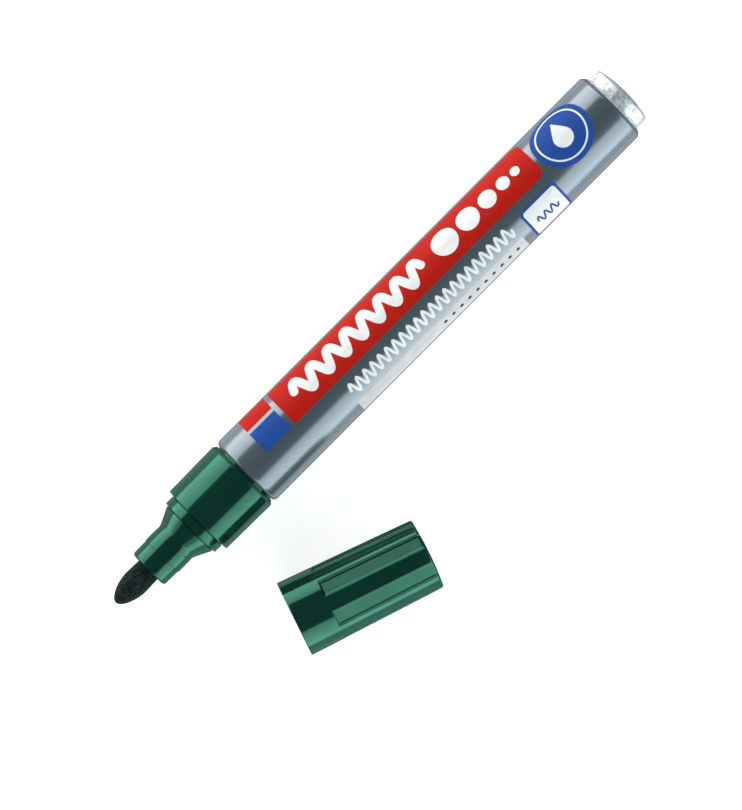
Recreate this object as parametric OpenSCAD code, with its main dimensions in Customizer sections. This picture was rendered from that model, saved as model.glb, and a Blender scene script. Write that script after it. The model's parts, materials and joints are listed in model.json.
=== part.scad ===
// Whiteboard marker lying on its side, with its cap off and lying beside it.
// The marker points its nib along -X; +Z is up; the origin is at the middle of
// the space the two pieces cover, on the surface they lie on.  Millimetres.

/* [Whole marker] */
// Length of the uncapped marker, nib tip to the middle of its rear end
marker_len = 133.7; // [125:0.1:140]
// Outer diameter of the barrel
barrel_d = 15.2; // [15.2:0.05:15.6]
// Wall thickness of the aluminium barrel
barrel_wall = 0.5; // [0.4:0.05:0.5]

/* [Rear post] */
// Diameter of the bare post on which the cap is parked
post_d = 12.84; // [12.6:0.02:12.9]
// Length of the post behind the barrel's shoulder
post_len = 3.1; // [2.5:0.1:4]
// Rounding of the post's rear edge
post_edge_r = 0.9; // [0.3:0.1:1.2]
// Rise of the post's domed rear end
post_dome = 0.6; // [0.1:0.1:0.7]
// Rounding where the barrel turns into its rear shoulder
shoulder_r = 0.6; // [0.55:0.05:0.8]

/* [Nib] */
// Length of nib that shows in front of the nozzle
nib_out_len = 8.6; // [8:0.1:9.5]
// Largest diameter of the bullet
nib_bullet_d = 5.22; // [5:0.02:5.3]
// Diameter of the nib's shank
nib_shank_d = 5; // [4.8:0.02:5.04]
// Whole length of the nib
nib_len = 33; // [31:0.5:34]

/* [Front section] */
// Diameter of the nozzle's front half
nozzle_front_d = 8.28; // [8:0.02:8.4]
// Diameter of the nozzle's rear half, which the cap's seal grips
nozzle_rear_d = 8.54; // [8.4:0.02:8.6]
// Length of the nozzle's front half
nozzle_front_len = 3.6; // [3:0.1:4]
// Length of the nozzle's rear half, up to the cone
nozzle_rear_len = 3.7; // [3.2:0.1:4]
// Length of the cone
cone_len = 3.7; // [3.2:0.1:4]
// Diameter of the collar that the cap's mouth fits
collar_d = 12.8; // [12.6:0.02:12.8]
// Length of the collar
collar_len = 2; // [1.5:0.1:2.5]
// Diameter of the grip cylinder at its front edge
grip_front_d = 14.92; // [14.6:0.02:15]
// Length of the grip cylinder
grip_len = 12.2; // [10:0.1:14]

/* [Cap] */
// Length of the cap, mouth to the top of its slightly domed end
cap_len = 27.9; // [27:0.1:29]
// Outer diameter at the mouth
cap_mouth_d = 14.86; // [14.7:0.02:15]
// Outer diameter at the closed end
cap_end_d = 13.8; // [13.7:0.02:14.2]
// Diameter of the bore that fits the collar and the rear post
cap_bore_d = 12.9; // [12.86:0.01:13]
// Number of flutes round the cap
flute_count = 7; // [5:1:9]
// Depth of a flute
flute_depth = 0.5; // [0.2:0.05:0.5]
// Distance from the mouth to the start of the flutes
flute_start = 6.9; // [6.5:0.1:9]
// Bore of the inner seal, round the nozzle's rear half
seal_bore_d = 8.6; // [8.6:0.01:8.7]

/* [Where the cap lies] */
// Mouth centre, distance behind the nib tip
cap_x = 21.17; // [15:0.01:40]
// Mouth centre, distance beside the marker's axis
cap_y = 25.61; // [22:0.01:40]
// Turn of the cap's axis away from the marker's axis
cap_turn = 18.85; // [0:0.05:30]

/* [Hidden] */
$fn = 96;
cut_over = 1;
GREEN = [0.10, 0.36, 0.27];
SILVER = [0.68, 0.72, 0.76];
FELT = [0.10, 0.15, 0.14];
FIBRE = [0.86, 0.90, 0.87];
FILM = [0.90, 0.92, 0.94];
SEAL = [0.86, 0.87, 0.85];

// Stations along the axis, measured back from the nib tip.
nozzle_x = nib_out_len;
nozzle_step_x = nozzle_x + nozzle_front_len;
cone_x = nozzle_x + nozzle_front_len + nozzle_rear_len;
collar_x = cone_x + cone_len;
grip_x = collar_x + collar_len;
grip_end_x = grip_x + grip_len;
rim_gap = 0.2;
barrel_x = grip_end_x + rim_gap;
shoulder_x = marker_len - post_len;

// The barrel: its front rim is rolled inwards into the section's groove.
barrel_r = barrel_d / 2;
barrel_in_r = barrel_r - barrel_wall;
rim_r = 0.95;
post_r = post_d / 2;
post_wall = 0.5;
post_in_r = post_r - post_wall;
end_wall = 1.1;
foot_groove = 0.12;

// The shoulder is a cone, which slants away from the marker's axis by this angle.
shoulder_slant = 48;
foot_flare = 0.08;
foot_len = 0.15;
shoulder_foot_r = post_r + foot_flare;
shoulder_foot_x = shoulder_x - foot_len;
shoulder_normal = 90 - shoulder_slant;
shoulder_arc_y = barrel_r - shoulder_r;
shoulder_drop = shoulder_arc_y + shoulder_r * sin(shoulder_normal) - shoulder_foot_r;
shoulder_arc_x = shoulder_foot_x - shoulder_drop / tan(shoulder_slant)
    - shoulder_r * cos(shoulder_normal);
shoulder_in_r = shoulder_r - barrel_wall;
shoulder_in_drop = shoulder_arc_y + shoulder_in_r * sin(shoulder_normal) - post_in_r;
shoulder_in_x = shoulder_arc_x + shoulder_in_r * cos(shoulder_normal)
    + shoulder_in_drop / tan(shoulder_slant);

// The section's inside, from the nozzle back.
nib_clearance = 0.05;
nib_bore_r = nib_shank_d / 2 + nib_clearance;
bore_past_cone = 0.6;
bore_end_x = cone_x + bore_past_cone;
bore_flare_len = 0.6;
air_r = 3.3;
air_past_collar = 2.8;
air_end_x = grip_x + air_past_collar;
seat_past_collar = 5.9;
seat_x = grip_x + seat_past_collar;
vent_w = 0.8;
vent_depth = 0.45;
vent_count = 4;
vent_turn = 45;
vent_past_bore = 0.5;
lip_r = 0.6;
nozzle_draft = 0.04;
cone_front_drop = 0.05;
cone_front_r = nozzle_rear_d / 2 - cone_front_drop;
cone_rear_drop = 0.43;
cone_rear_r = collar_d / 2 - cone_rear_drop;
cone_land = 0.05;
lip_chamfer = 0.25;
step_len = 0.15;
seat_runout = 0.9;
fillet_start = 0.5;
fillet_r = 2.5;
collar_edge = 0.06;
grip_edge = 0.1;
bevel_len = 0.7;
bevel_depth = 0.65;
groove_gap = 0.05;
groove_r = barrel_r - rim_r - groove_gap;
spigot_x = barrel_x + rim_r;
spigot_len = 11.5;
spigot_end_x = spigot_x + spigot_len;
spigot_step_len = 0.25;
spigot_step_depth = 0.1;
spigot_lead = 1;
spigot_lead_depth = 0.3;
spigot_wall = 0.7;
spigot_in_r = barrel_in_r - spigot_wall;
seat_ledge = 1.2;
seat_r = spigot_in_r - seat_ledge;

// Nib outline: a blunt bullet, then a slight waist down to the shank.
bullet_len = 5.35;
bullet_p = 1.75;
bullet_q = 1.8;
bullet_steps = 16;

// Reservoir: its ends are held by the section and by the barrel's shoulder.
wrap_wall = 0.15;
wrap_gap = 0.1;
wrap_r = spigot_in_r - wrap_gap;
fibre_r = wrap_r - wrap_wall;
wrap_short = 0.5;
fibre_gap = 0.05;
fibre_x = seat_x + fibre_gap;
fibre_end_x = shoulder_in_x - (fibre_r - post_in_r) / tan(shoulder_slant) - fibre_gap;
fibre_hole_gap = 0.2;
fibre_hole_end_x = nib_len + fibre_hole_gap;
nib_end_chamfer = 0.5;

// Cap, measured inwards from its mouth.
cap_mouth_r = cap_mouth_d / 2;
cap_end_r = cap_end_d / 2;
cap_edge_r = 0.5;
cap_dome = 0.3;
mouth_edge_r = 0.25;
cap_bore_r = cap_bore_d / 2;
cap_bore_len = 6.2;
cap_bore_chamfer = 0.2;
cap_deep_r = 5.8;
cap_bore_run = 0.8;
cap_deep_x = cap_bore_len + cap_bore_run;
cap_end_wall = 1.2;
flute_turn = 1.6;
flute_angle = 180 / flute_count;
cap_taper = (cap_mouth_r - cap_end_r) / cap_len;
cap_edge_x = cap_len - cap_dome - cap_edge_r;

// Inner seal, in the same measure.
seal_x = 7.4;
seal_r = 5.2;
seal_bore_r = seal_bore_d / 2;
seal_base = 0.8;
seal_lead = 0.3;
seal_edge = 0.2;
seal_ring_x = 9.2;
seal_ring_len = 1;
seal_flange_len = 1.5;
seal_end_x = cap_len - cap_end_wall;

// The cap lies on its cone, so its axis dips towards the closed end.
cap_dip = atan(cap_taper);
cap_z = cap_mouth_r * cos(cap_dip);
cap_dir_y = -sin(cap_turn) * cos(cap_dip);
cap_edge_y = -cap_y + cap_edge_x * cap_dir_y
    - (cap_r(cap_edge_x) - cap_edge_r) * sqrt(1 - cap_dir_y * cap_dir_y) - cap_edge_r;
origin_x = marker_len / 2;
origin_y = (barrel_r + cap_edge_y) / 2;

// Points on a quarter circle or other arc, from angle a to angle b.
function arc(cx, cy, r, a, b, steps = 8) =
    [for (i = [0 : steps]) let (t = a + (b - a) * i / steps) [cx + r * cos(t), cy + r * sin(t)]];

// A domed end with a rounded edge, from the side r to the middle of the end at x.
function domed_end(x, r, dome, edge) =
    let (flat_r = r - edge,
         curve_r = (flat_r * flat_r + dome * dome) / (2 * dome),
         angle = asin(flat_r / curve_r))
    concat(arc(x - dome - edge, flat_r, edge, 90, angle),
           arc(x - curve_r, 0, curve_r, angle, 0, 6));

// Swap (station, radius) pairs to the (radius, station) that a turned shape needs.
function turned(points) = [for (p = points) [p[1], p[0]]];

// Radius of the cap's outside at a distance from its mouth.
function cap_r(s) = cap_mouth_r - cap_taper * s;

// Radius of the nib's bullet at a distance from its tip.
function bullet_r(x) =
    nib_bullet_d / 2 * pow(1 - pow(1 - x / bullet_len, bullet_p), 1 / bullet_q);

// Stand a shape that is turned about Z along the marker's axis, tip first.
module along_marker() {
    translate([-origin_x, -origin_y, barrel_r]) rotate([0, 90, 0]) children();
}

// Lay a shape that is turned about Z where the cap lies, mouth first.
module along_cap() {
    translate([cap_x - origin_x, -cap_y - origin_y, cap_z])
        rotate([0, 90 + cap_dip, -cap_turn]) children();
}

// A solid turned about Z from (station, radius) pairs.
module turned_solid(points) {
    rotate_extrude() polygon(turned(points));
}

module barrel() {
    outside = concat(
        arc(barrel_x + rim_r, barrel_r - rim_r, rim_r, 180, 90),
        arc(shoulder_arc_x, shoulder_arc_y, shoulder_r, 90, shoulder_normal, 5),
        [[shoulder_foot_x, shoulder_foot_r], [shoulder_x, post_r - foot_groove],
         [shoulder_x + 2 * foot_groove, post_r]],
        domed_end(marker_len, post_r, post_dome, post_edge_r));
    inside = concat(
        [[marker_len - end_wall, 0], [marker_len - end_wall, post_in_r]],
        [[shoulder_in_x, post_in_r]],
        arc(shoulder_arc_x, shoulder_arc_y, shoulder_in_r, shoulder_normal, 90, 4),
        arc(barrel_x + rim_r, barrel_r - rim_r, rim_r - barrel_wall, 90, 180));
    color(SILVER) along_marker() turned_solid(concat(outside, inside));
}

module front_section() {
    cone_slope = atan((cone_rear_r - cone_front_r) / cone_len);
    collar_r = collar_d / 2;
    grip_r = grip_front_d / 2;
    outside = concat(
        [[nozzle_x, nib_bore_r + lip_chamfer]],
        arc(nozzle_x + lip_r, nozzle_front_d / 2 - nozzle_draft - lip_r, lip_r, 180, 90),
        [[nozzle_step_x, nozzle_front_d / 2], [nozzle_step_x + step_len, nozzle_rear_d / 2],
         [cone_x - seat_runout, nozzle_rear_d / 2]],
        arc(cone_x - fillet_start, cone_front_r + fillet_r, fillet_r, -90, cone_slope - 90, 5),
        [[collar_x - cone_land, cone_rear_r], [collar_x, cone_rear_r],
         [collar_x, collar_r - collar_edge], [collar_x + collar_edge, collar_r],
         [grip_x, collar_r], [grip_x, grip_r - grip_edge], [grip_x + grip_edge, grip_r],
         [grip_end_x - bevel_len, barrel_r], [grip_end_x, barrel_r - bevel_depth]]);
    spigot = [
        [grip_end_x, groove_r], [barrel_x + barrel_wall + groove_gap, groove_r],
        [spigot_x, barrel_in_r - spigot_step_depth], [spigot_x + spigot_step_len, barrel_in_r],
        [spigot_end_x - spigot_lead, barrel_in_r],
        [spigot_end_x, barrel_in_r - spigot_lead_depth], [spigot_end_x, spigot_in_r]];
    inside = [
        [seat_x, spigot_in_r], [seat_x, seat_r], [air_end_x, air_r],
        [bore_end_x + bore_flare_len, air_r], [bore_end_x, nib_bore_r],
        [nozzle_x + lip_chamfer, nib_bore_r]];
    color(GREEN) along_marker() difference() {
        turned_solid(concat(outside, spigot, inside));
        for (i = [0 : vent_count - 1]) {
            rotate([0, 0, vent_turn + i * 360 / vent_count])
                translate([0, -vent_w / 2, nozzle_x - cut_over])
                    cube([nib_bore_r + vent_depth, vent_w,
                          bore_end_x + vent_past_bore - nozzle_x + cut_over]);
        }
    }
}

module nib() {
    bullet = [for (i = [0 : bullet_steps])
        let (x = bullet_len * (1 - cos(90 * i / bullet_steps))) [x, bullet_r(x)]];
    shank = [
        [nib_out_len, nib_shank_d / 2], [nib_len - nib_end_chamfer, nib_shank_d / 2],
        [nib_len, nib_shank_d / 2 - nib_end_chamfer], [nib_len, 0]];
    color(FELT) along_marker() turned_solid(concat(bullet, shank));
}

module ink_reservoir() {
    color(FIBRE) along_marker() turned_solid([
        [fibre_x, nib_bore_r], [fibre_x, fibre_r], [fibre_end_x, fibre_r],
        [fibre_end_x, 0], [fibre_hole_end_x, 0], [fibre_hole_end_x, nib_bore_r]]);
}

module reservoir_wrap() {
    color(FILM) along_marker() turned_solid([
        [fibre_x + wrap_short, fibre_r], [fibre_x + wrap_short, wrap_r],
        [fibre_end_x - wrap_short, wrap_r], [fibre_end_x - wrap_short, fibre_r]]);
}

// One flute: a sector cut that starts with a step and runs out of the closed end.
module flute_cut() {
    far = cap_len + cut_over;
    out_r = cap_mouth_r + cut_over;
    rotate([0, 0, -flute_angle / 2]) rotate_extrude(angle = flute_angle)
        polygon([[cap_r(flute_start) - flute_depth, flute_start],
                 [out_r, flute_start],
                 [out_r, far],
                 [cap_r(far) - flute_depth, far]]);
}

module cap_shell() {
    outside = concat(
        [[0, cap_bore_r + cap_bore_chamfer]],
        arc(mouth_edge_r, cap_r(mouth_edge_r) - mouth_edge_r, mouth_edge_r, 180, 90, 4),
        domed_end(cap_len, cap_r(cap_edge_x), cap_dome, cap_edge_r));
    inside = [
        [seal_end_x, 0], [seal_end_x, cap_deep_r], [cap_deep_x, cap_deep_r],
        [cap_bore_len, cap_bore_r], [cap_bore_chamfer, cap_bore_r]];
    color(GREEN) along_cap() difference() {
        turned_solid(concat(outside, inside));
        for (i = [0 : flute_count - 1]) {
            rotate([0, 0, 180 + flute_turn + (2 * i + 1) * flute_angle]) flute_cut();
        }
    }
}

module cap_inner_seal() {
    outside = [
        [seal_x, seal_bore_r + seal_lead], [seal_x, seal_r - seal_edge],
        [seal_x + seal_edge, seal_r],
        [seal_ring_x, seal_r], [seal_ring_x, cap_deep_r],
        [seal_ring_x + seal_ring_len, cap_deep_r], [seal_ring_x + seal_ring_len, seal_r],
        [seal_end_x - seal_flange_len, seal_r], [seal_end_x - seal_flange_len, cap_deep_r],
        [seal_end_x, cap_deep_r], [seal_end_x, 0]];
    inside = [
        [seal_end_x - seal_base, 0], [seal_end_x - seal_base, seal_bore_r],
        [seal_x + seal_lead, seal_bore_r]];
    color(SEAL) along_cap() turned_solid(concat(outside, inside));
}

barrel();
front_section();
nib();
ink_reservoir();
reservoir_wrap();
cap_shell();
cap_inner_seal();
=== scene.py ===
"""A whiteboard marker lying uncapped on a pale floor, with its cap beside it.

Lengths in the shapes below are millimetres.  Along the marker, "station" is the distance
behind the nib tip; along the cap, it is the distance from the mouth.  "Turn" is the angle
round either axis, from straight up towards the side where the cap lies.
"""
import json
import math

import bmesh
import bpy
import numpy as np
from mathutils import Matrix, Vector, geometry, noise


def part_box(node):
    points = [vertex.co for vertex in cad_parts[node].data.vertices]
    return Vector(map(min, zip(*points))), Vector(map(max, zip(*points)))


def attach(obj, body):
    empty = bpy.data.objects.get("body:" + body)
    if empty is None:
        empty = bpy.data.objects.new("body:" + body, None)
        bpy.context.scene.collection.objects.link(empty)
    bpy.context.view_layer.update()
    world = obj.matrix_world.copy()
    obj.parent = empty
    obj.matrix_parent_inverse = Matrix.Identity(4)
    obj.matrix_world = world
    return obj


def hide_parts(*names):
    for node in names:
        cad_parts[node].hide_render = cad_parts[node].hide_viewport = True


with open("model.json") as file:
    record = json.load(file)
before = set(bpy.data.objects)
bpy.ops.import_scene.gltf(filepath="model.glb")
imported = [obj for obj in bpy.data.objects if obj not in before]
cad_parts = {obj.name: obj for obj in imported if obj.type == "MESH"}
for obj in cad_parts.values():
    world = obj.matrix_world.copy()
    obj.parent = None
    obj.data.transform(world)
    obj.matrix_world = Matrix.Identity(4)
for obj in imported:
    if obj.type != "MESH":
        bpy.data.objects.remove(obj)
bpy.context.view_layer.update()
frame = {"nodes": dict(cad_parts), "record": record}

MM = 0.001
TAU = 2 * math.pi

# ------------------------------------------------------------------ places taken from the frame
mounts = {m["name"]: m for m in frame["record"]["mounts"]}
barrel_low, barrel_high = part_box("barrel")
section_low, section_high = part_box("front_section")
nib_low, nib_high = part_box("nib")

TIP = Vector(mounts["writing_tip"]["pos_m"])
BARREL_R = mounts["barrel_grip"]["dims"]["r_mm"]
BARREL_X = (barrel_low.x - TIP.x) / MM
REAR_X = (barrel_high.x - TIP.x) / MM
NOZZLE_X = (section_low.x - TIP.x) / MM
SPIGOT_END_X = (section_high.x - TIP.x) / MM
NIB_LEN = (nib_high.x - nib_low.x) / MM
POST_R = mounts["rear_post"]["dims"]["r_mm"]
COLLAR_R = mounts["cap_seat"]["dims"]["r_mm"]
SEAT_R = mounts["nozzle_seat"]["dims"]["r_mm"]
CAP_BORE_R = mounts["cap_mouth"]["dims"]["r_mm"]
SEAL_BORE_R = mounts["seal_bore"]["dims"]["r_mm"]


class Spindle:
    """A line that shapes are turned about: where it starts, which way it runs, which way is up."""

    def __init__(self, start, along):
        up = Vector((0, 0, 1))
        self.start = start
        self.along = along.normalized()
        self.up = (up - self.along * up.dot(self.along)).normalized()
        self.side = self.along.cross(self.up)

    def point(self, station, radius, turn):
        out = self.up * math.cos(turn) + self.side * math.sin(turn)
        return self.start + (self.along * station + out * radius) * MM

    def matrix(self):
        """Object axes with X along the spindle and Z up."""
        axes = Matrix((self.along, -self.side, self.up)).transposed()
        return Matrix.Translation(self.start) @ axes.to_4x4()


MARKER = Spindle(TIP, Vector((1, 0, 0)))

# The cap's axis and mouth follow from the bore in its mouth, which is a mount.
CAP_BORE_LEN = 6.2
MOUTH_CHAMFER = 0.2
cap_axis = -Vector(mounts["cap_mouth"]["axis"])
bore_middle = Vector(mounts["cap_mouth"]["pos_m"])
CAP = Spindle(bore_middle - cap_axis * (CAP_BORE_LEN + MOUTH_CHAMFER) / 2 * MM, cap_axis)


# ------------------------------------------------------------------ turned shapes
SHARP_ANGLE = math.radians(40)


def arc(station, radius, size, start, end, steps=8):
    """Points on an arc about (station, radius); angles in degrees, 0 towards the rear."""
    angles = [math.radians(start + (end - start) * i / steps) for i in range(steps + 1)]
    return [(station + size * math.cos(a), radius + size * math.sin(a)) for a in angles]


def supported(outline, margin=0.1, longest=5.0):
    """The outline with extra points near the ends of its long stretches.

    They keep the smooth shading of a rounded edge from spreading over the flat beside it.
    """
    points = []
    for (x0, r0), (x1, r1) in zip(outline, outline[1:]):
        length = math.hypot(x1 - x0, r1 - r0)
        points.append((x0, r0))
        if length < 4 * margin:
            continue
        count = max(1, math.ceil(length / longest))
        inner = [margin + (length - 2 * margin) * i / count for i in range(count + 1)]
        points += [(x0 + (x1 - x0) * d / length, r0 + (r1 - r0) * d / length) for d in inner]
    return points + [outline[-1]]


def even_turns(count):
    return [TAU * i / count for i in range(count)]


def lathe(name, spindle, outline, turns, shape=None):
    """A closed skin turned about a spindle, from (station, radius) points; radius 0 is a pole.

    shape(station, radius, turn) gives a changed radius where the skin isn't round.
    """
    to_world = spindle.matrix()
    to_piece = to_world.inverted()
    bm = bmesh.new()
    rows = []
    for station, radius in outline:
        row = []
        for turn in turns if radius > 0 else [0]:
            r = shape(station, radius, turn) if shape and radius > 0 else radius
            row.append(bm.verts.new(to_piece @ spindle.point(station, r, turn)))
        rows.append(row)
    pairs = list(zip(rows, rows[1:]))
    if len(rows[0]) > 1:
        pairs.append((rows[-1], rows[0]))
    for here, there in pairs:
        for i in range(len(turns)):
            j = (i + 1) % len(turns)
            corners = [here[i % len(here)], here[j % len(here)],
                       there[j % len(there)], there[i % len(there)]]
            corners = list(dict.fromkeys(corners))
            if len(corners) > 2:
                bm.faces.new(corners)
    bmesh.ops.recalc_face_normals(bm, faces=bm.faces)
    mesh = bpy.data.meshes.new(name)
    bm.to_mesh(mesh)
    bm.free()
    mesh.shade_smooth()
    mesh.set_sharp_from_angle(angle=SHARP_ANGLE)
    piece = bpy.data.objects.new(name, mesh)
    bpy.context.scene.collection.objects.link(piece)
    piece.matrix_world = to_world
    return piece


def dress(piece, body, slot, material, *nodes):
    """Give a piece its material and its body, and hide the CAD nodes it stands for; slot is not
    used.
    """
    piece.data.materials.append(material)
    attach(piece, body)
    if nodes:
        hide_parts(*nodes)
    return piece


# ------------------------------------------------------------------ materials
GREEN = (0.018, 0.106, 0.067)
GREEN_GRAZING = (0.02, 0.48, 0.36, 1)
NIB_SHEEN = (0.35, 0.6, 0.5, 1)
SEAL_GLOW = (1.0, 0.95, 0.85)


def shade(colour, factor):
    """A colour made darker or lighter."""
    return tuple(min(1, factor * c) for c in colour)


class Paint:
    """A node material round one Principled shader, with the few helpers that the finishes use."""

    def __init__(self, name, **sockets):
        self.material = bpy.data.materials.new(name)
        self.material.use_nodes = True
        self.tree = self.material.node_tree
        self.shader = self.tree.nodes["Principled BSDF"]
        for socket, value in sockets.items():
            self.shader.inputs[socket.replace("_", " ")].default_value = value
        self.place = self.tree.nodes.new("ShaderNodeTexCoord").outputs["Object"]

    def link(self, source, target):
        self.tree.links.new(source, target)

    def noise(self, along, across, detail=3.0, rough=0.5):
        """Noise whose grains are that many millimetres long and wide, along the piece's axis."""
        mapping = self.tree.nodes.new("ShaderNodeMapping")
        mapping.inputs["Scale"].default_value = (1 / (along * MM), 1 / (across * MM),
                                                 1 / (across * MM))
        self.link(self.place, mapping.inputs["Vector"])
        texture = self.tree.nodes.new("ShaderNodeTexNoise")
        texture.inputs["Scale"].default_value = 1
        texture.inputs["Detail"].default_value = detail
        texture.inputs["Roughness"].default_value = rough
        self.link(mapping.outputs["Vector"], texture.inputs["Vector"])
        return texture.outputs["Fac"]

    def spread(self, value, low, high, start=0.3, end=0.7):
        """Maps start..end of a value to low..high, for a roughness or a height."""
        node = self.tree.nodes.new("ShaderNodeMapRange")
        node.inputs["From Min"].default_value = start
        node.inputs["From Max"].default_value = end
        node.inputs["To Min"].default_value = low
        node.inputs["To Max"].default_value = high
        self.link(value, node.inputs["Value"])
        return node.outputs["Result"]

    def ramp(self, value, *stops):
        """Colours along a value; each stop is (position, (r, g, b))."""
        node = self.tree.nodes.new("ShaderNodeValToRGB")
        elements = node.color_ramp.elements
        while len(elements) < len(stops):
            elements.new(0.5)
        for element, (position, colour) in zip(elements, stops):
            element.position = position
            element.color = (*colour, 1)
        self.link(value, node.inputs["Fac"])
        return node.outputs["Color"]

    def math(self, operation, first, second):
        """A sum, product or the like of two values, each a number or a socket."""
        node = self.tree.nodes.new("ShaderNodeMath")
        node.operation = operation
        for socket, value in zip(node.inputs, (first, second)):
            if isinstance(value, (int, float)):
                socket.default_value = value
            else:
                self.link(value, socket)
        return node.outputs["Value"]

    def mix(self, first, second, share):
        """A weighted mean; share is the weight of the first value."""
        return self.math("ADD", self.math("MULTIPLY", first, share),
                         self.math("MULTIPLY", second, 1 - share))

    def colour(self, value, *stops):
        """Paints the base colour with a ramp along a value."""
        self.link(self.ramp(value, *stops), self.shader.inputs["Base Color"])

    def roughness(self, value, low, high):
        """Spreads the roughness between two amounts."""
        self.link(self.spread(value, low, high), self.shader.inputs["Roughness"])

    def bump(self, height, depth, strength=1.0):
        """Bump of a given depth in millimetres, added to what is already there."""
        node = self.tree.nodes.new("ShaderNodeBump")
        node.inputs["Strength"].default_value = strength
        node.inputs["Distance"].default_value = depth * MM
        self.link(height, node.inputs["Height"])
        before = self.shader.inputs["Normal"].links
        if before:
            self.link(before[0].from_socket, node.inputs["Normal"])
        self.link(node.outputs["Normal"], self.shader.inputs["Normal"])


def lacquered_aluminium():
    """Silver lacquer over drawn aluminium: long fine streaks under a thin clear coat."""
    paint = Paint("lacquered_aluminium", Metallic=0.7, Coat_Weight=0.3, Coat_Roughness=0.09)
    streaks = paint.noise(70, 0.5, detail=5, rough=0.6)
    clouds = paint.noise(25, 6, detail=2)
    paint.colour(paint.mix(streaks, clouds, 0.75),
                 (0.35, (0.192, 0.226, 0.256)), (0.65, (0.214, 0.248, 0.278)))
    paint.roughness(streaks, 0.19, 0.27)
    paint.bump(streaks, 0.003, 0.4)
    return paint.material


def bare_aluminium():
    """Bare drawn aluminium, lightly rubbed, with cloudy patches."""
    paint = Paint("bare_aluminium", Metallic=0.9)
    clouds = paint.noise(1.3, 0.9, detail=6, rough=0.75)
    fine = paint.noise(0.15, 0.15, detail=3)
    rubbed = paint.noise(3.5, 0.35, detail=3)
    paint.colour(clouds, (0.40, (0.52, 0.53, 0.54)), (0.58, (0.97, 0.96, 0.95)))
    paint.roughness(clouds, 0.62, 0.50)
    paint.bump(clouds, 0.10, 1.0)
    paint.bump(rubbed, 0.02, 0.7)
    paint.bump(fine, 0.006, 0.6)
    return paint.material


def moulded_green(name):
    """Glossy moulded polypropylene, dyed through, with the mould's faint unevenness."""
    paint = Paint(name, Metallic=0.78, IOR=1.5, Coat_Weight=0.35, Coat_Roughness=0.05,
                  Specular_Tint=GREEN_GRAZING)
    tone = paint.noise(6, 3, detail=2)
    fine = paint.noise(0.35, 0.35, detail=3)
    wave = paint.noise(9, 4, detail=1)
    paint.colour(tone, (0.3, shade(GREEN, 0.9)), (0.7, shade(GREEN, 1.1)))
    paint.roughness(fine, 0.10, 0.17)
    paint.bump(wave, 0.02, 0.35)
    paint.bump(fine, 0.0015, 0.4)
    return paint.material


def nib_felt():
    """Pressed acrylic fibre soaked with dark green ink."""
    paint = Paint("nib_felt", Roughness=0.75, Sheen_Weight=0.06, Sheen_Roughness=0.4,
                  Sheen_Tint=NIB_SHEEN, Specular_IOR_Level=0.12)
    fibres = paint.noise(1.6, 0.12, detail=4, rough=0.65)
    grain = paint.noise(0.25, 0.12, detail=3)
    paint.colour(paint.mix(fibres, grain, 0.65), (0.44, (0.001, 0.004, 0.004)),
                 (0.52, (0.003, 0.010, 0.010)), (0.62, (0.045, 0.090, 0.080)))
    paint.bump(fibres, 0.05, 0.8)
    paint.bump(grain, 0.03, 0.6)
    return paint.material


def printed(name, colour):
    """Screen-printed ink, with a slightly uneven film."""
    paint = Paint(name, Specular_IOR_Level=0.1)
    film = paint.noise(3, 1.5, detail=4)
    grain = paint.noise(0.25, 0.25, detail=2)
    paint.colour(film, (0.35, shade(colour, 0.93)), (0.65, shade(colour, 1.05)))
    paint.roughness(grain, 0.50, 0.60)
    paint.bump(grain, 0.002, 0.3)
    return paint.material


def spun_fibre():
    """Bundled polyester fibre of the reservoir, stained by the ink."""
    paint = Paint("reservoir_fibre", Roughness=0.8)
    fibres = paint.noise(8, 0.2, detail=4)
    paint.colour(fibres, (0.3, (0.10, 0.30, 0.22)), (0.7, (0.45, 0.62, 0.55)))
    paint.bump(fibres, 0.08, 0.8)
    return paint.material


def clear_film():
    """Thin wrapping film round the reservoir."""
    paint = Paint("wrap_film", IOR=1.49)
    creases = paint.noise(12, 1.2, detail=3)
    paint.colour(creases, (0.3, (0.70, 0.76, 0.75)), (0.7, (0.85, 0.88, 0.90)))
    paint.roughness(creases, 0.15, 0.35)
    paint.bump(creases, 0.04, 0.4)
    return paint.material


def seal_plastic():
    """Softer, paler polyethylene of the cap's inner seal."""
    paint = Paint("seal_plastic", Subsurface_Weight=0.25, Subsurface_Scale=0.8 * MM,
                  Subsurface_Radius=SEAL_GLOW)
    tone = paint.noise(4, 2, detail=2)
    fine = paint.noise(0.3, 0.3, detail=2)
    paint.colour(tone, (0.3, (0.66, 0.68, 0.64)), (0.7, (0.76, 0.77, 0.73)))
    paint.roughness(fine, 0.32, 0.45)
    paint.bump(fine, 0.003, 0.4)
    return paint.material


# ------------------------------------------------------------------ barrel
WALL = 0.5
RIM_R = 0.95
# The lacquered skin lies this far inside the CAD's, so that the print lies on it.
INK_FILM = 0.02
LACQUER_R = BARREL_R - INK_FILM
LACQUER_END = 130.05
LACQUER_EDGE = 0.4
SHOULDER_R = 0.6
SHOULDER_X = 129.19
SHOULDER_SLANT = 48
FOOT = (130.45, POST_R + 0.08)
FOOT_NOTCH = 0.12
POST_X = 130.6
POST_EDGE_R = 0.9
POST_DOME = 0.6
END_WALL = 1.1
RING_OVERLAP = 0.2
RING_SUNK = 0.06
RING_EDGE = 0.05


def on_shoulder(station, sunk):
    """A point that lies a little under the slanting shoulder between barrel and post."""
    return station, FOOT[1] + (FOOT[0] - station) * math.tan(math.radians(SHOULDER_SLANT)) - sunk


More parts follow.
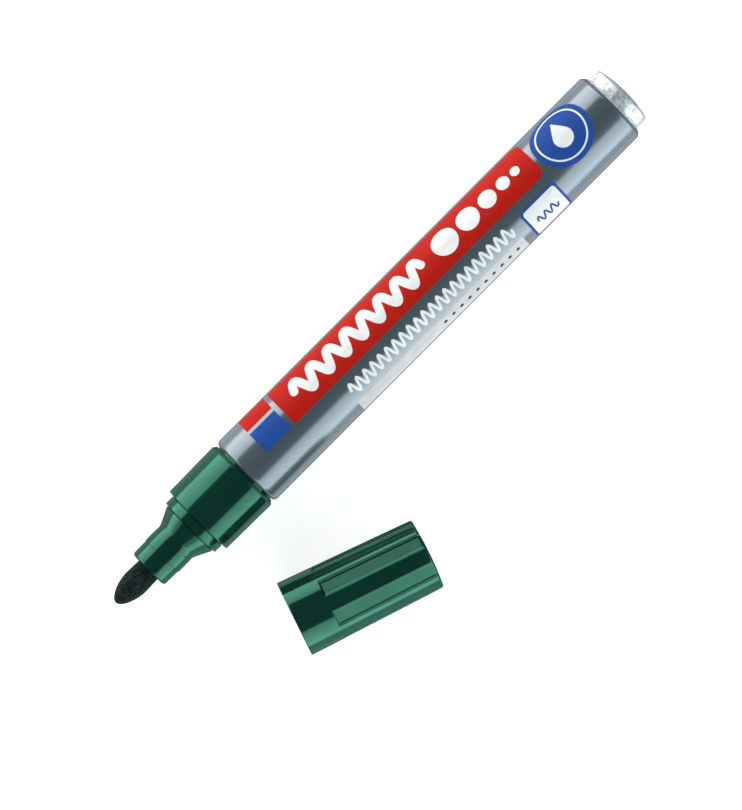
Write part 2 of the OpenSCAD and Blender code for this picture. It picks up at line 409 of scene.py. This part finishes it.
def domed_end(station, radius, dome, edge):
    """A slightly domed end with a rounded edge, up to just short of its middle."""
    flat = radius - edge
    curve = (flat ** 2 + dome ** 2) / (2 * dome)
    slope = math.degrees(math.asin(flat / curve))
    return (arc(station - dome - edge, flat, edge, 90, slope, 12)
            + arc(station - curve, 0, curve, slope, 0, 12)[1:-1])


def barrel_can():
    """The lacquered tube with its rolled front rim, and the bare post behind its shoulder."""
    axis_r = BARREL_R - SHOULDER_R
    normal = 90 - SHOULDER_SLANT
    rolled = arc(BARREL_X + RIM_R, LACQUER_R - RIM_R, RIM_R, 180, 90, 12)
    shoulder = arc(SHOULDER_X, axis_r, SHOULDER_R - INK_FILM, 90, normal, 10)
    end = [on_shoulder(LACQUER_END - 0.02, 0.03), on_shoulder(LACQUER_END, 0.05),
           on_shoulder(LACQUER_END, LACQUER_EDGE)]
    inner_shoulder = arc(SHOULDER_X, axis_r, SHOULDER_R - WALL, normal, 90, 4)
    inner_rim = arc(BARREL_X + RIM_R, LACQUER_R - RIM_R, RIM_R - WALL, 90, 180, 6)
    outline = supported(rolled + shoulder + end + inner_shoulder + inner_rim)
    lacquer = lathe("barrel_lacquered_tube", MARKER, outline, even_turns(192))
    dress(lacquer, "marker", "lacquered_aluminium", lacquered_aluminium(), "barrel")

    ring_x = LACQUER_END - RING_OVERLAP
    ring = [on_shoulder(ring_x, RING_OVERLAP), on_shoulder(ring_x, RING_SUNK),
            (FOOT[0] - RING_EDGE, FOOT[1]), (FOOT[0], FOOT[1] - RING_EDGE),
            (POST_X, POST_R - FOOT_NOTCH), (POST_X + 2 * FOOT_NOTCH, POST_R)]
    inside = [(REAR_X - END_WALL, 0), (REAR_X - END_WALL, POST_R - WALL),
              (POST_X - 0.3, POST_R - WALL), ring[0]]
    outline = supported(ring + domed_end(REAR_X, POST_R, POST_DOME, POST_EDGE_R))
    outline += [(REAR_X, 0)] + supported(inside)[:-1]
    post = lathe("barrel_rear_post", MARKER, outline, even_turns(160))
    dress(post, "marker", "bare_aluminium", bare_aluminium(), "barrel")


# ------------------------------------------------------------------ front section and nib
LIP_R = 0.6
NOZZLE_LIP_R = 4.1
STEP_X = 12.2
STEP_FRONT_R = 4.13
CONE_X = 15.9
CONE_FRONT_R = SEAT_R - 0.05
CONE_REAR_R = 5.97
CONE_FILLET_R = 2.5
COLLAR_X = 19.6
COLLAR_EDGE_R = 0.09
GRIP_X = 21.6
GRIP_FRONT_R = 7.46
GRIP_EDGE_R = 0.16
GRIP_END_X = 33.8
BEVEL_LEN = 0.7
BEVEL_DEPTH = 0.65
# The inside: the nib's bore, the air space behind it and the seat of the reservoir.
NIB_BORE_R = 2.55
BORE_LIP_R = 0.25
BORE_END_X = CONE_X + 0.6
AIR_R = 3.3
AIR_START_X = CONE_X + 1.2
AIR_END_X = GRIP_X + 2.8
SEAT_X = GRIP_X + 5.9
SEAT_HOLE_R = 5.2
SPIGOT_IN_R = 6.4
VENT_R = 3.0
VENT_WIDTH = 0.8
VENT_HALF = math.asin(VENT_WIDTH / 2 / VENT_R)
VENT_COUNT = 4
VENT_END_X = CONE_X + 0.7


def vent_turns(count):
    """Turns with an extra pair at each side of every vent, so that its walls are steep."""
    turns = set()
    pitch = TAU / VENT_COUNT
    for i in range(VENT_COUNT):
        middle = pitch * (i + 0.5)
        for edge in (-VENT_HALF, VENT_HALF):
            turns.add(middle + edge * 1.01)
            turns.add(middle + edge * 0.99)
    for turn in even_turns(count):
        if all(abs(turn - t) > TAU / count / 3 for t in turns):
            turns.add(turn)
    return sorted(turns)


def vented(station, radius, turn):
    """Opens the nib's bore to the four air vents that run along it."""
    pitch = TAU / VENT_COUNT
    off = abs(turn % pitch - pitch / 2)
    in_bore = station < VENT_END_X and radius < VENT_R
    return VENT_R if in_bore and off < VENT_HALF else radius


def front_section():
    """Nozzle, cone, collar and grip in one moulding, with the spigot that fits the barrel."""
    slope = math.degrees(math.atan2(CONE_REAR_R - CONE_FRONT_R, COLLAR_X - CONE_X))
    nozzle = arc(NOZZLE_X + LIP_R, NOZZLE_LIP_R - LIP_R, LIP_R, 180, 90, 10)
    nozzle += [(STEP_X - 0.10, STEP_FRONT_R), (STEP_X - 0.04, STEP_FRONT_R + 0.01),
               (STEP_X + 0.06, SEAT_R - 0.01), (STEP_X + 0.12, SEAT_R), (CONE_X - 0.9, SEAT_R)]
    cone = arc(CONE_X - 0.5, CONE_FRONT_R + CONE_FILLET_R, CONE_FILLET_R, -90, slope - 90, 8)
    cone += [(COLLAR_X - 0.2, 5.9), (COLLAR_X - 0.1, 5.6), (COLLAR_X, 5.65)]
    collar = arc(COLLAR_X + COLLAR_EDGE_R, COLLAR_R - COLLAR_EDGE_R, COLLAR_EDGE_R, 180, 90, 4)
    collar += [(GRIP_X - 0.2, COLLAR_R), (GRIP_X - 0.1, COLLAR_R - 0.3),
               (GRIP_X, COLLAR_R - 0.25)]
    grip = arc(GRIP_X + GRIP_EDGE_R, GRIP_FRONT_R - GRIP_EDGE_R, GRIP_EDGE_R, 180, 90, 5)
    bevel = math.degrees(math.atan2(BEVEL_LEN, BEVEL_DEPTH))
    grip += arc(GRIP_END_X - BEVEL_LEN - 0.1, BARREL_R - 0.2, 0.2, 90, bevel, 4)
    grip += arc(GRIP_END_X - 0.08, BARREL_R - BEVEL_DEPTH - 0.04, 0.08, bevel, 0, 3)
    groove_r = BARREL_R - RIM_R - 0.05
    bore_r = BARREL_R - WALL
    spigot_x = BARREL_X + RIM_R
    spigot = [(GRIP_END_X, groove_r), (BARREL_X + WALL + 0.05, groove_r),
              (spigot_x, bore_r - 0.12), (spigot_x + 0.25, bore_r - 0.02),
              (SPIGOT_END_X - 1, bore_r - 0.02), (SPIGOT_END_X, bore_r - 0.3),
              (SPIGOT_END_X, SPIGOT_IN_R)]
    inside = [(SEAT_X, SPIGOT_IN_R), (SEAT_X, SEAT_HOLE_R), (AIR_END_X, AIR_R),
              (AIR_START_X, AIR_R), (BORE_END_X, VENT_R + 0.01), (BORE_END_X, NIB_BORE_R),
              (NOZZLE_X + BORE_LIP_R, NIB_BORE_R)]
    lip = arc(NOZZLE_X + BORE_LIP_R, NIB_BORE_R + BORE_LIP_R, BORE_LIP_R, 270, 180, 5)
    outline = supported(nozzle + cone + collar + grip + spigot + inside + lip)
    piece = lathe("front_section_moulding", MARKER, outline, vent_turns(192), vented)
    dress(piece, "marker", "green_plastic", moulded_green("green_section"), "front_section")


BULLET_LEN = 5.35
BULLET_R = 2.61
BULLET_BLUNT = 1.75
BULLET_BELLY = 1.8
BULLET_ROWS = 44
SHANK_R = 2.5
SHANK_ROWS = 30
SHANK_CHAMFER = 0.5
FURROW = 0.03


def bullet_r(station):
    """Radius of the nib's bullet at a distance from its tip."""
    return BULLET_R * (1 - (1 - station / BULLET_LEN) ** BULLET_BLUNT) ** (1 / BULLET_BELLY)


def fibrous(station, radius, turn):
    """Fine lengthwise furrows of the pressed fibres, always inwards."""
    depth = 0
    for share, along, around in ((0.55, 0.5, 9), (0.45, 1.1, 26)):
        place = Vector((along * station, around * math.cos(turn), around * math.sin(turn)))
        depth += share * (0.5 + 0.5 * noise.noise(place))
    return radius * (1 - FURROW * depth * min(1, radius / 1.2))


def nib():
    """The bullet nib with its whole shank, down to the end that sits in the reservoir."""
    bullet = [BULLET_LEN * (1 - math.cos(math.pi / 2 * i / BULLET_ROWS))
              for i in range(1, BULLET_ROWS + 1)]
    outline = [(0, 0)] + [(x, bullet_r(x)) for x in bullet]
    outline += [(NOZZLE_X * (1 - t) + BULLET_LEN * t, SHANK_R * (1 - t) + BULLET_R * t)
                for t in (0.85, 0.7, 0.5, 0.3, 0.1)]
    shank_len = NIB_LEN - SHANK_CHAMFER - NOZZLE_X
    outline += [(NOZZLE_X + shank_len * i / SHANK_ROWS, SHANK_R) for i in range(SHANK_ROWS + 1)]
    outline += [(NIB_LEN, SHANK_R - SHANK_CHAMFER), (NIB_LEN, SHANK_R - 1.2), (NIB_LEN, 0)]
    piece = lathe("nib_bullet", MARKER, outline, even_turns(180), fibrous)
    dress(piece, "nib", "nib_felt", nib_felt(), "nib")


# ------------------------------------------------------------------ cap
CAP_LEN = 27.9
CAP_MOUTH_R = 7.43
CAP_END_R = 6.9
CAP_TAPER = (CAP_MOUTH_R - CAP_END_R) / CAP_LEN
CAP_DOME = 0.3
CAP_EDGE_R = 0.5
CAP_DEEP_R = 5.8
CAP_DEEP_X = CAP_BORE_LEN + 0.8
CAP_FLOOR = 26.7
MOUTH_EDGE_R = 0.25
FLUTES = 7
FLUTE_PITCH = TAU / FLUTES
LAND_TURN = math.radians(1.6)
FLUTE_DEPTH = 0.5
FLUTE_START = 6.9
FLUTE_LEAD = 0.02
BORE_DEPTH = 0.6
FLUTE_TOP = math.radians(13.2)
FLUTE_FLOOR = math.radians(11.5)
FLUTE_RUN = 0.3


def cap_radius(station):
    """Radius of the cap's outside at a distance from its mouth."""
    return CAP_MOUTH_R - CAP_TAPER * station


def ease(value):
    """0 to 1 with rounded ends and a straight middle."""
    t = min(1, max(0, value))
    return t * t * (3 - 2 * t)


def flute_off(turn):
    """The angle from the middle of the nearest flute."""
    return abs((turn - LAND_TURN) % FLUTE_PITCH - FLUTE_PITCH / 2)


def fluted(station, radius, turn):
    """Presses flat-floored flutes into the cap; they run out over the rounded end.

    Whatever lies deeper than BORE_DEPTH is the bore, which stays round.
    """
    if station < CAP_FLOOR and radius < cap_radius(station) - BORE_DEPTH:
        return radius
    off = flute_off(turn)
    across = ease((FLUTE_TOP - off) / (FLUTE_TOP - FLUTE_FLOOR))
    along = ease((station - FLUTE_START + FLUTE_LEAD) / FLUTE_RUN)
    flat = (cap_radius(station) - FLUTE_DEPTH) / math.cos(min(off, FLUTE_FLOOR))
    depth = cap_radius(station) - flat
    return radius - depth * min(across, along) * min(1, radius / (CAP_END_R - CAP_EDGE_R))


def cap_turns():
    """Turns round the cap, close together across the walls of the flutes."""
    wall, flute_floor, land = 6, 9, 10
    stops = [(-FLUTE_TOP, -FLUTE_FLOOR, wall), (-FLUTE_FLOOR, FLUTE_FLOOR, flute_floor),
             (FLUTE_FLOOR, FLUTE_TOP, wall), (FLUTE_TOP, FLUTE_PITCH - FLUTE_TOP, land)]
    turns = []
    for i in range(FLUTES):
        middle = LAND_TURN + FLUTE_PITCH * (i + 0.5)
        for start, end, count in stops:
            turns += [middle + start + (end - start) * k / count for k in range(count)]
    return turns


def cap():
    """The fluted cap with its plain mouth band, domed end and stepped bore."""
    mouth = arc(MOUTH_CHAMFER, CAP_BORE_R + MOUTH_CHAMFER, MOUTH_CHAMFER, 270, 180, 4)
    mouth += arc(MOUTH_EDGE_R, cap_radius(MOUTH_EDGE_R) - MOUTH_EDGE_R, MOUTH_EDGE_R, 180, 90, 6)
    step = [FLUTE_START - FLUTE_LEAD + FLUTE_RUN * k / 6 for k in range(7)]
    step = [(x, cap_radius(x)) for x in step]
    end = domed_end(CAP_LEN, cap_radius(CAP_LEN - CAP_DOME - CAP_EDGE_R), CAP_DOME, CAP_EDGE_R)
    inside = [(CAP_FLOOR, 0), (CAP_FLOOR, CAP_DEEP_R), (CAP_DEEP_X, CAP_DEEP_R),
              (CAP_BORE_LEN, CAP_BORE_R)]
    outline = supported(mouth[4:] + step + end) + [(CAP_LEN, 0)]
    outline += supported(inside + mouth[:4])
    piece = lathe("cap_fluted_shell", CAP, outline, cap_turns(), fluted)
    dress(piece, "cap", "green_plastic", moulded_green("green_cap"), "cap_shell")


SEAL_X = 7.4
SEAL_R = 5.2
SEAL_LEAD_R = 0.22
SEAL_EDGE_R = 0.3
SEAL_FIT_R = CAP_DEEP_R - 0.02
SEAL_BEVEL_R = CAP_DEEP_R - 0.1
RING_X = 9.2
RING_BEVEL = 0.1
RING_END_X = 10.2
FLANGE_X = CAP_FLOOR - 1.5
SEAL_BORE_END = CAP_FLOOR - 0.8


def inner_seal():
    """The sleeve inside the cap that closes round the nozzle."""
    lip = arc(SEAL_X + SEAL_LEAD_R, SEAL_BORE_R + SEAL_LEAD_R, SEAL_LEAD_R, 270, 180, 5)
    lip += arc(SEAL_X + SEAL_EDGE_R, SEAL_R - SEAL_EDGE_R, SEAL_EDGE_R, 180, 90, 5)
    outside = [(RING_X, SEAL_R), (RING_X, SEAL_BEVEL_R), (RING_X + RING_BEVEL, SEAL_FIT_R),
               (RING_END_X - RING_BEVEL, SEAL_FIT_R), (RING_END_X, SEAL_BEVEL_R),
               (RING_END_X, SEAL_R), (FLANGE_X, SEAL_R), (FLANGE_X, SEAL_FIT_R),
               (CAP_FLOOR, SEAL_FIT_R), (CAP_FLOOR, 0)]
    inside = [(SEAL_BORE_END, 0), (SEAL_BORE_END, SEAL_BORE_R)]
    outline = supported(lip[5:] + outside) + supported(inside + lip[:5])
    piece = lathe("cap_inner_seal_sleeve", CAP, outline, even_turns(128))
    dress(piece, "cap", "seal_plastic", seal_plastic(), "cap_inner_seal")


# ------------------------------------------------------------------ print on the barrel
# Print is drawn on the unrolled barrel: u is the station, v the arc length from the top
# line towards the cap's side.  Each region is (ink, closed outline); later ones cover earlier.
# The flat drawing is squeezed along the barrel before it is cut into triangles, which then
# come out long along the barrel and narrow round it.
PRINT_SQUEEZE = 0.25
PRINT_GRID = 0.5
PRINT_GRID_START = 0.21
PRINT_MERGE = 1e-6
PRINT_FOOT_R = LACQUER_R - 0.01
INKS = {
    "red": ("print_red", (0.50, 0.010, 0.004)),
    "blue": ("print_blue", (0.018, 0.075, 0.34)),
    "white": ("print_white", (0.86, 0.86, 0.86)),
    "pale": ("print_white", (0.60, 0.58, 0.57)),
    "dark": ("print_dark", (0.03, 0.035, 0.045)),
}
PANEL_MIDDLE = -4.3
PANEL_DISCS = ((90.2, 2.8), (96.2, 2.4), (101.3, 1.9), (105.4, 1.4), (108.5, 1.0))
STRIP_MIDDLE = 7.9
STRIP_DOTS = 10
BOARD = (103.2, 2.2, 112.2, 10.4)
BOARD_FRAME = 0.5
BADGE_MIDDLE = (119.25, -3.0)
BADGE_DISCS = (("blue", 6.25), ("white", 5.2), ("blue", 4.85))
DROP_V = -2.2
DROP_R = 2.0
DROP_TIP = 3.9


def rounded_box(u0, v0, u1, v1, *radii):
    """A rectangle's outline; radii go round from (u0, v0) to (u1, v0) and on."""
    corners = [(u0, v0, 180), (u1, v0, 270), (u1, v1, 0), (u0, v1, 90)]
    radii = radii if len(radii) == 4 else radii * 4
    points = []
    for (u, v, start), r in zip(corners, radii):
        if r == 0:
            points.append((u, v))
            continue
        cu = u + r if u == u0 else u - r
        cv = v + r if v == v0 else v - r
        for k in range(9):
            a = math.radians(start + 90 * k / 8)
            points.append((cu + r * math.cos(a), cv + r * math.sin(a)))
    return points


def disc(u, v, radius, count=64):
    """The outline of a disc."""
    return [(u + radius * math.cos(t), v + radius * math.sin(t)) for t in even_turns(count)]


def stroke(line, width):
    """The outline of a round-ended stroke along a line of points."""
    half = width / 2
    left, right = [], []
    for i, (u, v) in enumerate(line):
        before = line[max(0, i - 1)]
        after = line[min(len(line) - 1, i + 1)]
        length = math.hypot(after[0] - before[0], after[1] - before[1])
        du, dv = (after[0] - before[0]) / length, (after[1] - before[1]) / length
        left.append((u - dv * half, v + du * half))
        right.append((u + dv * half, v - du * half))

    def round_end(start, middle, way):
        first = math.atan2(start[1] - middle[1], start[0] - middle[0])
        return [(middle[0] + half * math.cos(first + way * math.pi * k / 8),
                 middle[1] + half * math.sin(first + way * math.pi * k / 8)) for k in range(1, 8)]

    return left + round_end(left[-1], line[-1], -1) + right[::-1] + round_end(right[0], line[0], -1)


def wave(u0, u1, middle, height, waves, steps=16):
    """A line that waves up and down between two stations."""
    count = int(waves * steps)
    return [(u0 + (u1 - u0) * k / count,
             middle - height / 2 * math.sin(TAU * waves * k / count)) for k in range(count + 1)]


def print_regions():
    """Generic print in the places of the real one: panel, strips, board and round badge."""
    regions = [("red", rounded_box(39.6, -10, 46, -5.4, 0)),
               ("blue", rounded_box(39.6, -4.6, 46, 0.2, 0)),
               ("red", rounded_box(47, -9.8, 112.3, 0.2, 0, 1.7, 1.7, 0)),
               ("white", stroke(wave(51, 84, PANEL_MIDDLE, 4.0, 7.5, 32), 1.7)),
               ("white", stroke(wave(58.6, 100.4, 3.4, 2.6, 22, 12), 0.55)),
               ("pale", rounded_box(57.9, 6.0, 101, 10.2, 0.35))]
    regions += [("white", disc(u, PANEL_MIDDLE, r)) for u, r in PANEL_DISCS]
    regions += [("dark", disc(80 + 2.1 * k, STRIP_MIDDLE, 0.42, 24)) for k in range(STRIP_DOTS)]
    return regions + board_picture() + round_badge()


def board_picture():
    """A small framed board with a wave drawn on it."""
    u0, v0, u1, v1 = BOARD
    return [("blue", rounded_box(u0, v0, u1, v1, 0.9)),
            ("white", rounded_box(u0 + BOARD_FRAME, v0 + BOARD_FRAME,
                                  u1 - BOARD_FRAME, v1 - BOARD_FRAME, 0.6)),
            ("blue", stroke(wave(105.2, 110.2, (v0 + v1) / 2, 1.8, 3), 0.4))]


def round_badge():
    """A blue disc with a plain ring and a drop, in the place of a badge."""
    u, v = BADGE_MIDDLE
    round_side = [math.radians(-28 + 236 * k / 24) for k in range(25)]
    drop = [(u, DROP_V - DROP_TIP)]
    drop += [(u + DROP_R * math.cos(a), DROP_V + DROP_R * math.sin(a)) for a in round_side]
    return [(ink, disc(u, v, r, 96)) for ink, r in BADGE_DISCS] + [("white", drop)]


def subdivided(outline):
    """The outline with its long edges cut up, so that they can follow the barrel's curve."""
    points = []
    for (u0, v0), (u1, v1) in zip(outline, outline[1:] + outline[:1]):
        count = max(1, math.ceil(max(abs(u1 - u0) * PRINT_SQUEEZE, abs(v1 - v0)) / PRINT_GRID))
        points += [(u0 + (u1 - u0) * k / count, v0 + (v1 - v0) * k / count) for k in range(count)]
    return points


def inside_outline(points, outline):
    """Which of the points a closed outline goes round, also where it crosses itself."""
    turns = np.zeros(len(points), int)
    for (u0, v0), (u1, v1) in zip(outline, outline[1:] + outline[:1]):
        if v0 == v1:
            continue
        crosses = (v0 > points[:, 1]) != (v1 > points[:, 1])
        at = u0 + (points[:, 1] - v0) * (u1 - u0) / (v1 - v0)
        turns += (crosses & (points[:, 0] < at)) * (1 if v1 > v0 else -1)
    return turns != 0


def barrel_print():
    """Cuts the print into triangles that meet edge to edge, and makes one piece per ink."""
    regions = [(ink, subdivided(outline)) for ink, outline in print_regions()]
    points, edges = [], []
    for _, outline in regions:
        first = len(points)
        points += outline
        count = len(outline)
        edges += [(first + k, first + (k + 1) % count) for k in range(count)]
    low = np.min(points, axis=0)
    high = np.max(points, axis=0)
    grid = [(u, v) for u in np.arange(low[0], high[0], PRINT_GRID / PRINT_SQUEEZE)
            for v in np.arange(low[1] + PRINT_GRID_START, high[1], PRINT_GRID)]
    points += grid
    flat = [Vector((u * PRINT_SQUEEZE, v)) for u, v in points]
    verts, _, faces, _, _, _ = geometry.delaunay_2d_cdt(flat, edges, [], 0, PRINT_MERGE)
    places = np.array([(p.x / PRINT_SQUEEZE, p.y) for p in verts])
    triangles = np.array([f for f in faces if len(f) == 3])
    middles = places[triangles].mean(axis=1)
    ink_of = np.full(len(triangles), "", dtype=object)
    for ink, outline in regions:
        ink_of[inside_outline(middles, outline)] = ink
    for ink, (slot, colour) in INKS.items():
        ink_piece("print_" + ink, places, triangles[ink_of == ink], slot,
                  printed("print_" + ink, colour))


def ink_piece(name, places, triangles, slot, material):
    """One ink as a thin closed film wrapped on the barrel, with exactly round shading."""
    used = sorted(set(triangles.ravel()))
    number = {int(old): new for new, old in enumerate(used)}
    turns = [places[k][1] / BARREL_R for k in used]
    to_piece = MARKER.matrix().inverted()
    top = [to_piece @ MARKER.point(places[k][0], BARREL_R, t) for k, t in zip(used, turns)]
    foot = [to_piece @ MARKER.point(places[k][0], PRINT_FOOT_R, t) for k, t in zip(used, turns)]
    count = len(used)
    faces = []
    borders = {}
    for a, b, c in triangles:
        a, b, c = number[int(a)], number[int(b)], number[int(c)]
        faces.append((a, c, b))
        for edge in ((a, c), (c, b), (b, a)):
            borders[edge] = borders.get(edge, 0) + 1
    skin = len(faces)
    faces += [tuple(k + count for k in reversed(face)) for face in faces]
    faces += [(a, a + count, b + count, b) for a, b in borders if (b, a) not in borders]
    mesh = bpy.data.meshes.new(name)
    mesh.from_pydata([*top, *foot], [], faces)
    mesh.update()
    mesh.shade_smooth()
    normals = []
    for face in mesh.polygons:
        for vertex in face.vertices:
            out = Vector((0, *mesh.vertices[vertex].co.yz)).normalized()
            normals.append(out if face.index < skin else face.normal)
    mesh.normals_split_custom_set(normals)
    piece = bpy.data.objects.new(name, mesh)
    bpy.context.scene.collection.objects.link(piece)
    piece.matrix_world = MARKER.matrix()
    dress(piece, "marker", slot, material)


# ------------------------------------------------------------------ hidden CAD nodes
def hidden_nodes():
    """The reservoir and its wrap are seen only when the marker is taken apart."""
    for node, material in (("ink_reservoir", spun_fibre()), ("reservoir_wrap", clear_film())):
        piece = frame["nodes"][node]
        piece.data.materials.clear()
        piece.data.materials.append(material)


# ------------------------------------------------------------------ stage, lights and camera
# Lengths of the stage are metres; colours of light are red, green and blue.
FLOOR_HALF = 4
FLOOR_GLOW = (1.0, 0.98, 0.95, 1)
WALL_R = 3.9
WALL_HEIGHT = 5
WALL_GLOW = (1, 1, 1, 1)
SIDES = ((-1, (0.82, 0.86, 0.85)), (1, (1.0, 0.98, 0.94)))
# Edges of each near band, in degrees from straight up, and its strength.
BANDS = ((43.5, 50, 0.9), (50, 58, 1.2), (58, 68, 1.5), (68, 80, 1.8), (80, 100, 2.2))
BAND_AWAY, BAND_LEN = 1.0, 2.2
FAR_BAND = (43.5, 92, 0.85)
FAR_AWAY, FAR_LEN = 1.2, 6.0
FILL = (0.42, 0.41, 0.39)
FILL_HALF, FILL_AWAY, FILL_LEN = 50, 1.4, 3.4
CEILING = (0.02, 0.085, 0.12, 1)
BELOW = (0.80, 0.87, 0.95, 1)
LENS_MM = 333.4
SENSOR_MM = 36
CAMERA_PLACE = (-7.55, 9.02, 1396.6)
CAMERA_TURN = -45.075


def floor():
    """A wide, plain, nearly white floor, lit from within like a light table."""
    bm = bmesh.new()
    bmesh.ops.create_grid(bm, x_segments=8, y_segments=8, size=FLOOR_HALF)
    mesh = bpy.data.meshes.new("floor")
    bm.to_mesh(mesh)
    bm.free()
    piece = bpy.data.objects.new("floor", mesh)
    bpy.context.scene.collection.objects.link(piece)
    paint = Paint("floor_white", Roughness=0.9, Emission_Strength=0.68,
                  Emission_Color=FLOOR_GLOW)
    paint.colour(paint.noise(40, 40), (0.3, (0.90, 0.90, 0.90)), (0.7, (0.92, 0.92, 0.92)))
    mesh.materials.append(paint.material)
    piece.visible_glossy = False


def backdrop():
    """A pale round wall behind everything, which only the camera sees."""
    bm = bmesh.new()
    bmesh.ops.create_circle(bm, segments=96, radius=WALL_R)
    wall = bmesh.ops.extrude_edge_only(bm, edges=bm.edges[:])
    raised = [v for v in wall["geom"] if isinstance(v, bmesh.types.BMVert)]
    bmesh.ops.translate(bm, verts=raised, vec=(0, 0, WALL_HEIGHT))
    mesh = bpy.data.meshes.new("backdrop")
    bm.to_mesh(mesh)
    bm.free()
    piece = bpy.data.objects.new("backdrop", mesh)
    bpy.context.scene.collection.objects.link(piece)
    paint = Paint("backdrop_white", Roughness=0.9, Emission_Strength=0.85,
                  Emission_Color=WALL_GLOW)
    mesh.materials.append(paint.material)
    piece.visible_glossy = False
    piece.visible_diffuse = False
    piece.visible_shadow = False


def softbox(name, towards, low, high, distance, length, radiance):
    """A long area light; low and high are its edges' angles from straight up, in degrees."""
    middle = math.radians((low + high) / 2)
    height = 2 * distance * math.tan(math.radians((high - low) / 2))
    light = bpy.data.lights.new(name, "AREA")
    light.shape = "RECTANGLE"
    light.size = length
    light.size_y = height
    light.color = radiance
    light.energy = math.pi * length * height
    away = Vector((*towards, 0)) * math.sin(middle) + Vector((0, 0, math.cos(middle)))
    lamp = bpy.data.objects.new(name, light)
    lamp.location = away * distance
    lamp.rotation_mode = "QUATERNION"
    lamp.rotation_quaternion = away.to_track_quat("Z", "Y")
    lamp.visible_camera = False
    bpy.context.scene.collection.objects.link(lamp)
    return lamp


def lights():
    """Long boxes on both sides, brighter towards the horizon, and a dim bluish ceiling.

    A wide box overhead evens the light on the floor; shiny surfaces don't show it.  They
    show a grey below the horizon instead of the floor, as if the marker lay on a light table.
    """
    for side, tint in SIDES:
        for low, high, strength in BANDS:
            softbox(f"side_{side}_{int(low)}", (0, side), low, high, BAND_AWAY, BAND_LEN,
                    tuple(strength * t for t in tint))
        low, high, strength = FAR_BAND
        softbox(f"side_{side}_far", (0, side), low, high, FAR_AWAY, FAR_LEN,
                tuple(strength * t for t in tint))
    fill = softbox("overhead", (1, 0), -FILL_HALF, FILL_HALF, FILL_AWAY, FILL_LEN, FILL)
    fill.visible_glossy = False
    world = bpy.data.worlds.new("ceiling")
    bpy.context.scene.world = world
    world.use_nodes = True
    paint_world(world.node_tree)


def paint_world(tree):
    """Dim above, grey below the horizon on both sides, dim at both ends."""
    def step(value, start, end):
        """0 to 1 as a value goes from start to end."""
        node = tree.nodes.new("ShaderNodeMapRange")
        node.inputs["From Min"].default_value = start
        node.inputs["From Max"].default_value = end
        tree.links.new(value, node.inputs["Value"])
        return node.outputs["Result"]

    place = tree.nodes.new("ShaderNodeTexCoord")
    split = tree.nodes.new("ShaderNodeSeparateXYZ")
    away = tree.nodes.new("ShaderNodeMath")
    away.operation = "ABSOLUTE"
    both = tree.nodes.new("ShaderNodeMath")
    both.operation = "MULTIPLY"
    ramp = tree.nodes.new("ShaderNodeValToRGB")
    tree.links.new(place.outputs["Generated"], split.inputs["Vector"])
    tree.links.new(split.outputs["Y"], away.inputs[0])
    tree.links.new(step(split.outputs["Z"], 0.02, -0.02), both.inputs[0])
    tree.links.new(step(away.outputs["Value"], 0.25, 0.6), both.inputs[1])
    tree.links.new(both.outputs["Value"], ramp.inputs["Fac"])
    tree.links.new(ramp.outputs["Color"], tree.nodes["Background"].inputs["Color"])
    low, high = ramp.color_ramp.elements
    low.color, high.color = CEILING, BELOW


def camera():
    """Straight down from well above, turned so that the marker lies from corner to corner."""
    data = bpy.data.cameras.new("camera")
    data.lens = LENS_MM
    data.sensor_width = SENSOR_MM
    view = bpy.data.objects.new("camera", data)
    bpy.context.scene.collection.objects.link(view)
    view.location = Vector(CAMERA_PLACE) * MM
    view.rotation_euler = (0, 0, math.radians(CAMERA_TURN))
    data.clip_start = 0.1
    data.clip_end = 20
    bpy.context.scene.camera = view
    bpy.context.scene.view_settings.view_transform = "Standard"


barrel_can()
barrel_print()
front_section()
nib()
cap()
inner_seal()
hidden_nodes()
floor()
backdrop()
lights()
camera()
